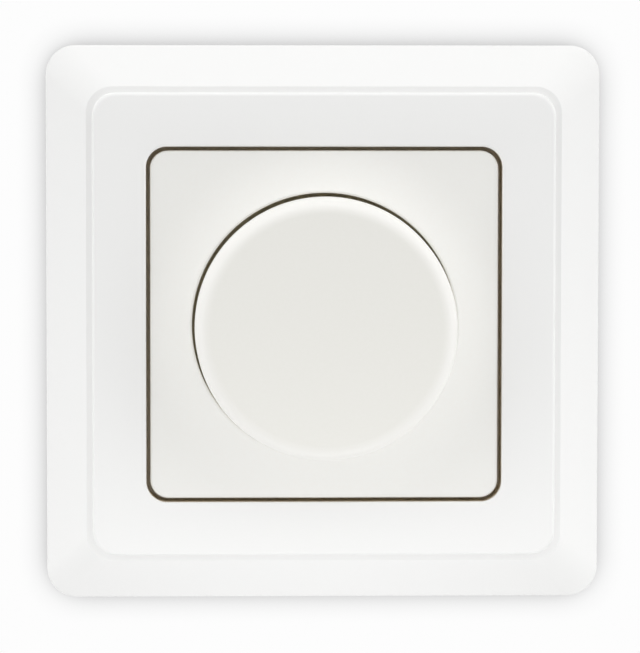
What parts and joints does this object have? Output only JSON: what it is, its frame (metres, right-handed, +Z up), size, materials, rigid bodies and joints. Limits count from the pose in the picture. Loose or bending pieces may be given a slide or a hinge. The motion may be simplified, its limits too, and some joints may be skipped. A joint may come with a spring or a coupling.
{
  "type": "dimmer switch",
  "caption": "Flush-mounted rotary dimmer switch: square bevelled cover frame, centre plate, wide push and turn knob, and an insert with claws for a round wall box.",
  "frame": {"origin": "centre of the box screw pattern on the wall plane, which is the support plate's back face", "axes": "+Y into the wall, +Z up, +X to the right as seen from the room"},
  "size_m": [0.08, 0.0455, 0.08],
  "materials": {
    "frame_white": "moulded, satin gloss",
    "plate_white": "moulded, satin gloss",
    "knob_white": "moulded, satin gloss",
    "spring_steel": "bright spring steel",
    "steel": "turned",
    "zinc_steel": "zinc plated",
    "brass_nickel": "nickel plated",
    "tinned_brass": "tinned",
    "brass": "stamped",
    "copper": "enamelled wire",
    "plate_metal": "stamped, bright",
    "housing_grey": "moulded, fine matt",
    "block_grey": "moulded, fine matt",
    "black_plastic": "moulded",
    "brown_laminate": "laminate",
    "carbon_black": "printed carbon",
    "board_green": "board with solder mask",
    "pad_grey": "silicone sheet",
    "ferrite": "sintered",
    "capacitor_yellow": "moulded",
    "resistor_beige": "lacquered",
    "fuse_glass": "clear",
    "trimmer_blue": "moulded"
  },
  "bodies": {
    "insert": {"cover_frame": "frame_white", "centre_plate": "plate_white", "threaded_bush": "brass_nickel", "bush_nut": "zinc_steel", "plate_nut": "zinc_steel", "pot_case": "zinc_steel", "track_disc": "brown_laminate", "carbon_track": "carbon_black", "pot_pins": "tinned_brass", "switch_case": "black_plastic", "fixed_contacts": "brass", "return_spring": "spring_steel", "support_plate": "plate_metal", "insert_housing": "housing_grey", "housing_screws": "zinc_steel", "terminal_block": "block_grey", "terminal_cages": "zinc_steel", "terminal_screws": "zinc_steel", "claw_screws": "zinc_steel", "circuit_board": "board_green", "triac": "black_plastic", "triac_pad": "pad_grey", "triac_rivet": "steel", "choke_core": "ferrite", "choke_winding": "copper", "mains_capacitor": "capacitor_yellow", "timing_capacitor": "capacitor_yellow", "resistors": "resistor_beige", "diac": "resistor_beige", "fuse_tube": "fuse_glass", "fuse_caps": "tinned_brass", "fuse_clips": "tinned_brass", "trimmer_body": "trimmer_blue"},
    "push_plunger": {"switch_plunger": "knob_white", "contact_bridge": "brass"},
    "turning_knob": {"knob": "knob_white", "knob_leaf": "spring_steel", "spindle": "steel"},
    "wiper": {"wiper_rotor": "black_plastic", "wiper_contact": "spring_steel"},
    "trimmer": {"trimmer_rotor": "knob_white"},
    "right_claw": {"claw_right": "zinc_steel"},
    "left_claw": {"claw_left": "zinc_steel"}
  },
  "joints": [
    {"name": "knob_press", "type": "slide", "parent": "insert", "child": "push_plunger", "axis": [0, 1, 0], "range_m": [0, 0.0015], "stiffness_N_per_m": 1500, "springref_m": -0.003, "deforming": ["return_spring"]},
    {"name": "knob_turn", "type": "hinge", "parent": "push_plunger", "child": "turning_knob", "pos_m": [0, 0, 0], "axis": [0, 1, 0], "range_deg": [0, 270]},
    {"name": "wiper_turn", "type": "hinge", "parent": "insert", "child": "wiper", "pos_m": [0, 0, 0], "axis": [0, 1, 0], "range_deg": [0, 270]},
    {"name": "trimmer_turn", "type": "hinge", "parent": "insert", "child": "trimmer", "pos_m": [0.0135, 0, -0.007], "axis": [0, 1, 0], "range_deg": [0, 240]},
    {"name": "right_claw_swing", "type": "hinge", "parent": "insert", "child": "right_claw", "pos_m": [0.0225, 0.0016, 0.0065], "axis": [0, 0, -1], "range_deg": [0, 18]},
    {"name": "left_claw_swing", "type": "hinge", "parent": "insert", "child": "left_claw", "pos_m": [-0.0225, 0.0016, -0.0065], "axis": [0, 0, 1], "range_deg": [0, 18]}
  ],
  "couplings": [
    {"joint": "wiper_turn", "follows": "knob_turn", "ratio": 1}
  ]
}
